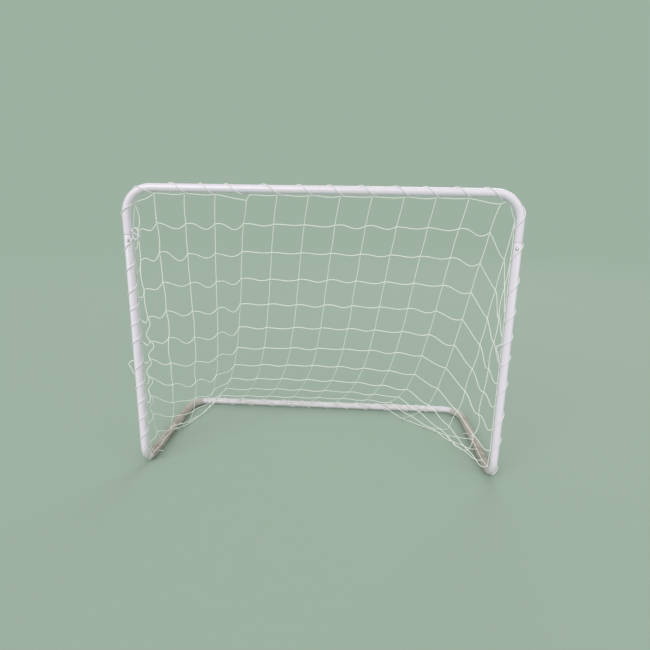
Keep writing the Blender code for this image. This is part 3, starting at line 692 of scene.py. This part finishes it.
def net_bottom(u):
    column = u * NET_COLUMNS
    seat = NET_STANDOFF / sqrt(2)
    bar_left, bar_right = [Vector((x, BACK_Y - seat, RAIL_Z + seat))
                           for x in (BAR_TIE_LEFT, BAR_TIE_RIGHT)]
    if column <= LEFT_TIED_COLUMN:
        return frame_side(LEFT_FOOT_SHORT - LEG_START
                          - (LEFT_FOOT_SHORT + LEFT_LEG_TIE) * column / LEFT_TIED_COLUMN)
    if column < FIRST_BAR_COLUMN:
        tie = frame_side(-LEG_START - LEFT_LEG_TIE)
        share = (column - LEFT_TIED_COLUMN) / (FIRST_BAR_COLUMN - LEFT_TIED_COLUMN)
        return loose_edge(tie, bar_left, share)
    if column <= LAST_BAR_COLUMN:
        share = (column - FIRST_BAR_COLUMN) / (LAST_BAR_COLUMN - FIRST_BAR_COLUMN)
        return bar_left.lerp(bar_right, share)
    share = (column - LAST_BAR_COLUMN) / (NET_COLUMNS - LAST_BAR_COLUMN)
    return loose_edge(bar_right, net_right(1), share)


print("the net is laced to the back bar from x", round(BAR_TIE_LEFT, 3), "to",
      round(BAR_TIE_RIGHT, 3))

# %% [markdown]
# The slack comes out as a belly that is lowest a little above the back bar, deeper on the left, and
# the meshes in it drift to the right. Three spots have come loose: the column beside the left post
# is gathered up against it, the lower right corner hangs deeper, and two knots hang under the
# crossbar, where the lacing holds the cord beside the knot. Each is a smooth bump added to the
# surface, or a knot moved by a listed offset.

# %% The hanging surface
NET_SAG, NET_SAG_SPREAD, NET_SAG_LEAN = 0.094, 0.15, 0.93
NET_DRIFT, NET_DRIFT_SPREAD = 0.063, 0.52
NET_LOWNESS = 1.414
NET_SIDE_FADE = 5
NET_FORWARD = 0.010
CORNER_DROP, CORNER_COLUMN, CORNER_REACH = 0.041, 14.3, 1.4
GATHERED_COLUMN, GATHER_RISE, GATHER_OUT, GATHER_START = 1, 0.060, 0.022, 0.42
HANGING_TOP_KNOTS = {5: (0.016, 0.011), 13: (0.012, 0.024)}


def net_point(u, v):
    """The net's place, from u = 0 at the left to 1 and from v = 0 at the crossbar to 1."""
    place = net_top(u).lerp(net_bottom(u), v)
    to_left = net_left(v) - net_top(0).lerp(net_bottom(0), v)
    to_right = net_right(v) - net_top(1).lerp(net_bottom(1), v)
    place += to_left * (1 - u) ** NET_SIDE_FADE + to_right * u ** NET_SIDE_FADE
    chord = (net_bottom(0.5) - net_top(0.5)).normalized()
    low = sin(pi * v ** NET_LOWNESS)
    sag = NET_SAG * (1 + NET_SAG_LEAN * (0.5 - u)) * sin(pi * u) ** NET_SAG_SPREAD
    place += chord.cross(X) * (sag * low)
    place += X * (NET_DRIFT * low * sin(pi * u ** NET_DRIFT_SPREAD))
    near_corner = max(0.0, 1 - abs(u * NET_COLUMNS - CORNER_COLUMN) / CORNER_REACH)
    place -= Z * (CORNER_DROP * near_corner * sin(pi * sqrt(v)))
    gathered = (max(0.0, 1 - abs(u * NET_COLUMNS - GATHERED_COLUMN))
                * sin(pi * max(0.0, v - GATHER_START) / (1 - GATHER_START)))
    place += (Z * GATHER_RISE - X * GATHER_OUT) * gathered
    place.y = max(place.y, FRONT_Y - NET_FORWARD)
    place.z = max(place.z, FLOOR_CLEARANCE)
    return place


knots = [[net_point(column / NET_COLUMNS, row / NET_ROWS) for row in range(NET_ROWS + 1)]
         for column in range(NET_COLUMNS + 1)]
top_ties = {}
for column, (drop, aside) in HANGING_TOP_KNOTS.items():
    top_ties[column] = knots[column][0] + X * aside
    knots[column][0] = knots[column][0] - Z * drop
levels = [(b[row] - a[row]).length for a, b in zip(knots, knots[1:]) for row in range(NET_ROWS + 1)]
uprights = [(b - a).length for line in knots for a, b in zip(line, line[1:])]
lowest = min(knot.z for line in knots for knot in line)
print("the longest level way from knot to knot is", round(max(levels) * 1000), "mm")
print("the longest upright one is", round(max(uprights) * 1000), "mm")
print("the net's lowest knot is", round(lowest * 1000, 1), "mm up")

# %% [markdown]
# Each level cord hangs by what one mesh of cord is longer than the way from knot to knot. The cords
# are stiff enough to keep small bends where they come out of a knot, so each stretch is also bowed a
# little, each one differently, from a fixed seed. In the gathered column the upright cord curls from
# side to side. A hitch is about a turn and a half of the level cord round the upright one.

# %% Helpers for the cords and knots
STRETCH_STEPS = 9
DROOP_TO_SPAN = 0.28
DROOP_EVEN, DROOP_LATE, DROOP_CHANGE = 0.62, (0.15, 0.62), (0.65, 1.25)
BOW_CHANGE, BOW_LEAN = (0.3, 1.0), (-0.25, 0.25)
HITCH_R, HITCH_TURNS, HITCH_RISE, HITCH_POINTS = 0.0021, 1.6, 0.0028, 10
chance = np.random.default_rng(11)


def stretch(start, end, droop, bow, curl=0.0):
    """The way from one knot to the next, without its end: it droops, late, is bowed, may curl."""
    way = (end - start).normalized()
    aside = Vector(chance.normal(size=3).tolist())
    aside = (aside - way * aside.dot(way)).normalized() * bow * float(chance.uniform(*BOW_CHANGE))
    lean = float(chance.uniform(*BOW_LEAN))
    late = float(chance.uniform(*DROOP_LATE))
    droop *= float(chance.uniform(*DROOP_CHANGE))
    points = []
    for step in range(STRETCH_STEPS):
        t = step / STRETCH_STEPS
        hump = 4 * t * (1 - t)
        fall = droop * (DROOP_EVEN * sin(pi * t) - late * sin(2 * pi * t))
        point = start.lerp(end, t) - Z * fall + aside * hump * (1 + lean * (2 * t - 1))
        point += X * (curl * sin(2 * pi * t))
        point.y = max(point.y, FRONT_Y - NET_FORWARD)
        point.z = max(point.z, FLOOR_CLEARANCE)
        points.append(point)
    return points


def slack_depth(start, end):
    """How far a cord of one mesh's length can hang out between two knots."""
    span = (end - start).length
    return min(sqrt(max(NET_MESH ** 2 - span ** 2, 0)) / 2, DROOP_TO_SPAN * span)


def hitch(centre, upright, level):
    normal = upright.cross(level).normalized()
    level = normal.cross(upright)
    points = []
    for index in range(HITCH_POINTS):
        t = index / (HITCH_POINTS - 1)
        angle = 2 * pi * HITCH_TURNS * t
        points.append(centre + (level * cos(angle) + normal * sin(angle)) * HITCH_R
                      + upright * HITCH_RISE * (t - 0.5))
    return points


# %% [markdown]
# Now the cords are laid: every upright one from the crossbar down, every level one from left to
# right, and then a hitch on every knot. The cords along the edges are held by the lacing, so they
# keep straighter. All of them are one piece, which stands for the model's 18 panels.

# %% The net
NET_R, NET_SIDES = 0.0014, 7
HITCH_CORD_R, HITCH_SIDES = 0.0011, 5
UPRIGHT_BOW, LEVEL_BOW = 0.0018, 0.0020
SLACK_BOW_SHARE = 0.45
LEAST_DROOP, EDGE_DROOP_SHARE = 0.0055, 0.35
GATHER_CURL, GATHER_ROWS = 0.008, range(4, 9)

net_sweeps = []
for column, line in enumerate(knots):
    route = []
    for row, (start, end) in enumerate(zip(line, line[1:])):
        bow = max(UPRIGHT_BOW, SLACK_BOW_SHARE * slack_depth(start, end))
        if column in (0, NET_COLUMNS):
            bow = 0.0
        curl = GATHER_CURL if column == GATHERED_COLUMN and row in GATHER_ROWS else 0.0
        route += stretch(start, end, 0, bow, curl)
    net_sweeps.append(sweep(route + [line[-1]], NET_R, NET_SIDES))
for row in range(NET_ROWS + 1):
    on_edge = row in (0, NET_ROWS)
    level = [line[row] for line in knots]
    route = []
    for column, (start, end) in enumerate(zip(level, level[1:])):
        droop = max(slack_depth(start, end), LEAST_DROOP) * (EDGE_DROOP_SHARE if on_edge else 1)
        if row == 0 and column in top_ties:
            route.append(start)
            start = top_ties[column]
        route += stretch(start, end, droop, 0.0 if on_edge else LEVEL_BOW)
    net_sweeps.append(sweep(route + [level[-1]], NET_R, NET_SIDES))
for column in range(NET_COLUMNS + 1):
    for row in range(NET_ROWS + 1):
        upright = knots[column][min(row + 1, NET_ROWS)] - knots[column][max(row - 1, 0)]
        level = knots[min(column + 1, NET_COLUMNS)][row] - knots[max(column - 1, 0)][row]
        turns = hitch(knots[column][row], upright.normalized(), level.normalized())
        net_sweeps.append(sweep(turns, HITCH_CORD_R, HITCH_SIDES))
net = cord_piece("net", net_sweeps)
rest_on_floor(net)
panels = [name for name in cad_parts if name.startswith("net_")]
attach(net, "goal")
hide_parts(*panels)
print("the net stands for", len(panels), "panels")

# %% [markdown]
# The finishes are shader trees. One small class wraps a socket, so that a formula on values reads as
# a formula: each sign adds its Math node. The reflected forms let a plain number stand first.

# %% Shader maths as expressions
class Wire:
    """A socket of a material's node tree."""

    def __init__(self, finish, socket):
        self.finish, self.socket = finish, socket

    def maths(self, operation, *values):
        return self.finish.node("ShaderNodeMath", {"operation": operation}, dict(enumerate(values)))

    def __add__(self, other):
        return self.maths("ADD", self, other)

    def __sub__(self, other):
        return self.maths("SUBTRACT", self, other)

    def __rsub__(self, other):
        return self.maths("SUBTRACT", other, self)

    def __mul__(self, other):
        return self.maths("MULTIPLY", self, other)

    __radd__, __rmul__ = __add__, __mul__


# %% [markdown]
# A second class holds a material. Its node method adds any node: first its settings, such as an
# operation or a ramp's stops, then the values or wires of its sockets. The short methods add the
# nodes that come up again and again. A noise of scale 100 has lumps of about a centimetre, because
# Object coordinates are in metres.

# %% A material built node by node
class Finish:
    """A material with its Principled shader. Values that are the same all over are constants."""

    def __init__(self, name, **constants):
        self.material = bpy.data.materials.new(name)
        self.material.use_nodes = True
        self.tree = self.material.node_tree
        self.shader = self.tree.nodes["Principled BSDF"]
        for socket, value in constants.items():
            self.shader.inputs[socket.replace("_", " ")].default_value = value

    def node(self, kind, settings=None, inputs=None, output=0):
        node = self.tree.nodes.new(kind)
        for key, value in (settings or {}).items():
            if key == "stops":
                for stop, (place, colour) in zip(node.color_ramp.elements, value):
                    stop.position, stop.color = place, (*colour, 1)
            else:
                setattr(node, key, value)
        for key, value in (inputs or {}).items():
            self.join(node.inputs[key], value)
        return Wire(self, node.outputs[output])

    def join(self, socket, value):
        if isinstance(value, Wire):
            self.tree.links.new(value.socket, socket)
        else:
            socket.default_value = value

    def feed(self, socket, value):
        self.join(self.shader.inputs[socket], value)

    def place(self):
        return self.node("ShaderNodeTexCoord", output="Object")

    def part(self, vector, axis):
        return self.node("ShaderNodeSeparateXYZ", inputs={"Vector": vector}, output=axis)

    def noise(self, scale, detail=3.0, vector=None, roughness=0.5):
        return self.node("ShaderNodeTexNoise", inputs={
            "Vector": vector or self.place(), "Scale": scale, "Detail": detail,
            "Roughness": roughness})

    def ramp(self, value, *stops):
        return self.node("ShaderNodeValToRGB", {"stops": stops}, {"Fac": value})

    def step(self, value, low, high):
        return self.node("ShaderNodeMapRange", {"interpolation_type": "SMOOTHSTEP"},
                         {"Value": value, "From Min": low, "From Max": high})

    def mix(self, factor, first, second):
        return self.node("ShaderNodeMix", {"data_type": "RGBA"},
                         {"Factor": factor, "A": first, "B": second}, output="Result")

    def bump(self, height, distance, strength):
        self.feed("Normal", self.node("ShaderNodeBump", inputs={
            "Height": height, "Distance": distance, "Strength": strength}, output="Normal"))


def give(finish, *pieces):
    for piece in pieces:
        piece.data.materials.clear()
        piece.data.materials.append(finish.material)


# %% [markdown]
# White powder coat is a thin, baked plastic skin. It is half glossy with a faint orange peel. On a
# goal that lives outdoors it has a little dust in soft clouds, small dull grey scuffs, and more dirt,
# in patches, near the floor. Each of these has its own scale, so each gets a noise of its own.

# %% Powder coat
COAT_WHITE, DUST, SCUFF = (0.83, 0.76, 0.85), (0.55, 0.53, 0.50), (0.42, 0.42, 0.43)
CLOUD_DUST, FLOOR_DIRT, PATCH_DIRT, SCUFF_SHADE = 0.10, 0.22, 0.50, 0.35
DIRTY_BELOW, CLEAN_ABOVE = 0.010, 0.10
COAT_ROUGHNESS, UNEVENNESS, SCUFF_ROUGHNESS = 0.26, 0.10, 0.25
GLOSS, SCUFF_LOSS = 0.35, 0.25
coat = Finish("white_powder_coat", Coat_Roughness=0.18, IOR=1.5)
clouds = coat.step(coat.noise(7.0, detail=4.0), low=0.50, high=0.78)
scuffs = coat.step(coat.noise(90.0, detail=5.0, roughness=0.7), low=0.66, high=0.74)
near_floor = 1 - coat.step(coat.part(coat.place(), "Z"), DIRTY_BELOW, CLEAN_ABOVE)
patches = coat.step(coat.noise(35.0, detail=4.0), low=0.35, high=0.70)
dirt = clouds * CLOUD_DUST + near_floor * (FLOOR_DIRT + PATCH_DIRT * patches)
dusty = coat.mix(dirt, (*COAT_WHITE, 1), (*DUST, 1))
coat.feed("Base Color", coat.mix(scuffs * SCUFF_SHADE, dusty, (*SCUFF, 1)))
uneven = coat.noise(26.0, detail=2.0) * UNEVENNESS
coat.feed("Roughness", uneven + (COAT_ROUGHNESS + scuffs * SCUFF_ROUGHNESS))
coat.feed("Coat Weight", GLOSS - scuffs * SCUFF_LOSS)
coat.bump(coat.noise(900.0, detail=2.0), distance=0.00012, strength=0.6)
give(coat, top_tube, rear_tube, *side_tubes.values())
print("powder coat on", 2 + len(side_tubes), "tubes")

# %% [markdown]
# The clips are zinc-plated spring steel: bright, slightly yellow, with fine drawn lines. They are
# the model's own solids, whose shape is right, so only their material changes. The lines are a fine
# noise that a Mapping node draws out along the height.

# %% Zinc-plated steel
DRAWN_OUT = (1.0, 1.0, 0.06)
YELLOW_ZINC, BRIGHT_ZINC = (0.60, 0.58, 0.53), (0.78, 0.77, 0.74)
ZINC_ROUGHNESS, LINE_ROUGHNESS, TARNISH_ROUGHNESS = 0.24, 0.15, 0.10
zinc = Finish("zinc_plated_steel", Metallic=1.0)
drawn = zinc.node("ShaderNodeMapping", inputs={"Vector": zinc.place(), "Scale": DRAWN_OUT})
lines = zinc.noise(1400.0, detail=2.0, vector=drawn)
tarnish = zinc.noise(60.0)
zinc.feed("Base Color", zinc.ramp(tarnish, (0.35, YELLOW_ZINC), (0.70, BRIGHT_ZINC)))
zinc.feed("Roughness", lines * LINE_ROUGHNESS + (ZINC_ROUGHNESS + tarnish * TARNISH_ROUGHNESS))
zinc.bump(lines, distance=0.00003, strength=0.5)
clips = [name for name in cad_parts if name.startswith("clip_")]
for name in clips:
    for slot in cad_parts[name].material_slots:
        slot.material = zinc.material
print("zinc plate on", len(clips), "clip pieces")

# %% [markdown]
# All the cord is twisted from three strands. On the UV map the strands are slanting ridges: their
# height is the absolute sine of the way round plus the way along. The fluff of the fibres is a fine
# noise. The soil sits in blotches and in the grooves between the strands, and the grooves also get a
# little painted shade, darker even where there is no soil. Strands of geometry would show no better
# at this size and cost many faces.

# %% Twisted cord
STRANDS, STRAND_HEIGHT = 3, 0.8
SHEEN, CORD_ROUGHNESS, FIBRE_ROUGHNESS = 0.15, 0.70, 0.20
BLOTCH_SCALE, FIBRE_SCALE = 24.0, 1800.0
GROOVE_WIDTH, GROOVE_SHADE, GROOVE_SOIL = 0.55, 0.10, 0.6
# The second colour of each cord is both its soil and the painted shade in its grooves.
NET_CLEAN, NET_SOILED_AND_SHADED = (0.92, 0.93, 0.89), (0.66, 0.66, 0.60)
LACE_CLEAN, LACE_SOILED_AND_SHADED = (0.88, 0.86, 0.88), (0.62, 0.59, 0.60)


def twisted_cord(name, clean, soiled_and_shaded, soil, lay_length, fuzz):
    """A cord's finish. lay_length is how far along the cord one strand takes to go round once."""
    finish = Finish(name, Sheen_Weight=SHEEN)
    cord_map = finish.node("ShaderNodeUVMap", {"uv_map": "cord_uv"})
    across, along = finish.part(cord_map, "X"), finish.part(cord_map, "Y")
    wave = (across * STRANDS + along * (STRANDS / lay_length)) * pi
    ridge = wave.maths("SINE", wave)
    ridge = ridge.maths("ABSOLUTE", ridge)
    fibres = finish.noise(FIBRE_SCALE)
    blotches = finish.noise(BLOTCH_SCALE, detail=4.0)
    groove = 1 - finish.step(ridge, low=0.0, high=GROOVE_WIDTH)
    # Painted shade: GROOVE_SHADE darkens the grooves between the strands even where there is no soil.
    # The blotches and the soil term in the grooves are soil.
    soil_and_groove_shade = (finish.step(blotches, low=0.35, high=0.75) * soil
             + groove * (GROOVE_SHADE + soil * GROOVE_SOIL))
    finish.colour = finish.mix(soil_and_groove_shade, (*clean, 1), (*soiled_and_shaded, 1))
    finish.feed("Base Color", finish.colour)
    finish.feed("Roughness", CORD_ROUGHNESS + fibres * FIBRE_ROUGHNESS)
    finish.bump(ridge * STRAND_HEIGHT + fibres * fuzz, distance=0.0005, strength=0.8)
    return finish


net_twine = twisted_cord("net_twine", NET_CLEAN, NET_SOILED_AND_SHADED, soil=0.10, lay_length=0.007, fuzz=0.15)
lace_cord = twisted_cord("lacing_cord", LACE_CLEAN, LACE_SOILED_AND_SHADED, soil=0.10, lay_length=0.009,
                         fuzz=0.20)
laces = (front_lacing, back_lacing, tails, hank, hank_tie, left_bight, right_bight)
give(net_twine, net)
give(lace_cord, *laces)
print("net twine on the net and lacing cord on", len(laces), "pieces")

# %% [markdown]
# The close winding is the same cord, but it has lain on the ground. It is beige-grey with much more
# soil in the same blotches and grooves, and it gets whiter again towards the rear bend.

# %% Soiled winding
WINDING_CLEAN, WINDING_SOIL_AND_SHADE = (0.51, 0.47, 0.41), (0.24, 0.205, 0.165)
WINDING_REAR, REAR_SHARE = (0.62, 0.60, 0.57), 0.75
WHITER_FROM, WHITER_TO = 0.12, 0.26
soiled_and_shaded = twisted_cord("soiled_winding", WINDING_CLEAN, WINDING_SOIL_AND_SHADE, soil=0.55, lay_length=0.009,
                      fuzz=0.25)
# The winding gets whiter towards the rear bend, from y = WHITER_FROM to WHITER_TO.
whiter_to_rear = soiled_and_shaded.step(soiled_and_shaded.part(soiled_and_shaded.place(), "Y"), WHITER_FROM, WHITER_TO) * REAR_SHARE
soiled_and_shaded.feed("Base Color", soiled_and_shaded.mix(whiter_to_rear, soiled_and_shaded.colour, (*WINDING_REAR, 1)))
give(soiled_and_shaded, *windings)
print("soiled cord on", len(windings), "windings")

# %% [markdown]
# The studio is a wide floor. The object is white, so the floor is a quiet pale green-grey that its
# net can be seen against. Far out the floor passes into a plain glow of the backdrop's colour, so
# that no horizon is seen from any side. A curved backdrop would hide it from one side only.

# %% Floor and backdrop
FLOOR_COLOUR = (0.365, 0.472, 0.387)
BACKDROP_COLOUR = (0.34, 0.44, 0.36)
FLOOR_R, FLOOR_SIDES, FLOOR_DROP = 30.0, 96, 0.0006
FADE_START, FADE_END = 2.5, 9.0
bpy.ops.object.select_all(action="DESELECT")
bpy.ops.mesh.primitive_circle_add(vertices=FLOOR_SIDES, radius=FLOOR_R, fill_type="NGON",
                                  location=(0, 0, -FLOOR_DROP))
floor = bpy.context.object
floor.name = "studio_floor"
bpy.ops.object.transform_apply(location=True, rotation=True, scale=True)
backdrop = Finish("pale_backdrop", Roughness=0.9, Specular_IOR_Level=0.2)
backdrop.feed("Base Color", (*FLOOR_COLOUR, 1))
far_out = backdrop.node("ShaderNodeVectorMath", {"operation": "LENGTH"}, {0: backdrop.place()},
                        output="Value")
glow = backdrop.node("ShaderNodeEmission", inputs={"Color": (*BACKDROP_COLOUR, 1)})
near_shader = Wire(backdrop, backdrop.shader.outputs["BSDF"])
faded = backdrop.node("ShaderNodeMixShader", inputs={
    0: backdrop.step(far_out, FADE_START, FADE_END), 1: near_shader, 2: glow})
backdrop.join(backdrop.tree.nodes["Material Output"].inputs["Surface"], faded)
give(backdrop, floor)
print("the floor fades out from", FADE_START, "to", FADE_END, "m")

# %% [markdown]
# Three wide soft suns light the goal: the key over the front left, a weaker one that fills from the
# right, and one from behind, so that the net shows from there too. The world adds a plain even
# light, so that a colour renders about as it is written. The camera and glossy surfaces see the
# backdrop's colour there instead, which takes a second Background node behind a Light Path switch.

# %% Light
WORLD_LEVEL = 0.56
SUNS = [("key", (-1.6, -3.5, 2.5), 1.40), ("fill", (2.6, -2.6, 1.8), 0.42),
        ("back", (1.0, 3.4, 2.2), 0.80)]
SUN_SPREAD = 0.7
SUN_AIM = Vector((0, 0, 0.45))
for name, place, power in SUNS:
    bpy.ops.object.light_add(type="SUN", location=place)
    lamp = bpy.context.object
    lamp.name = f"{name}_sun"
    lamp.data.angle = SUN_SPREAD
    lamp.data.energy = power
    lamp.rotation_euler = (SUN_AIM - Vector(place)).to_track_quat("-Z", "Y").to_euler()
world = bpy.context.scene.world or bpy.data.worlds.new("studio")
bpy.context.scene.world = world
world.use_nodes = True
sky = world.node_tree
even_light = sky.nodes["Background"]
even_light.inputs["Color"].default_value = (1, 1, 1, 1)
even_light.inputs["Strength"].default_value = WORLD_LEVEL
seen = sky.nodes.new("ShaderNodeBackground")
seen.inputs["Color"].default_value = (*BACKDROP_COLOUR, 1)
ray = sky.nodes.new("ShaderNodeLightPath")
camera_or_gloss = sky.nodes.new("ShaderNodeMath")
camera_or_gloss.operation = "MAXIMUM"
choice = sky.nodes.new("ShaderNodeMixShader")
for source, target in ((ray.outputs["Is Camera Ray"], camera_or_gloss.inputs[0]),
                       (ray.outputs["Is Glossy Ray"], camera_or_gloss.inputs[1]),
                       (camera_or_gloss.outputs[0], choice.inputs[0]),
                       (even_light.outputs[0], choice.inputs[1]),
                       (seen.outputs[0], choice.inputs[2]),
                       (choice.outputs[0], sky.nodes["World Output"].inputs["Surface"])):
    sky.links.new(source, target)
bpy.context.scene.view_settings.view_transform = "Standard"
print(len(SUNS), "suns, and the world at", WORLD_LEVEL)
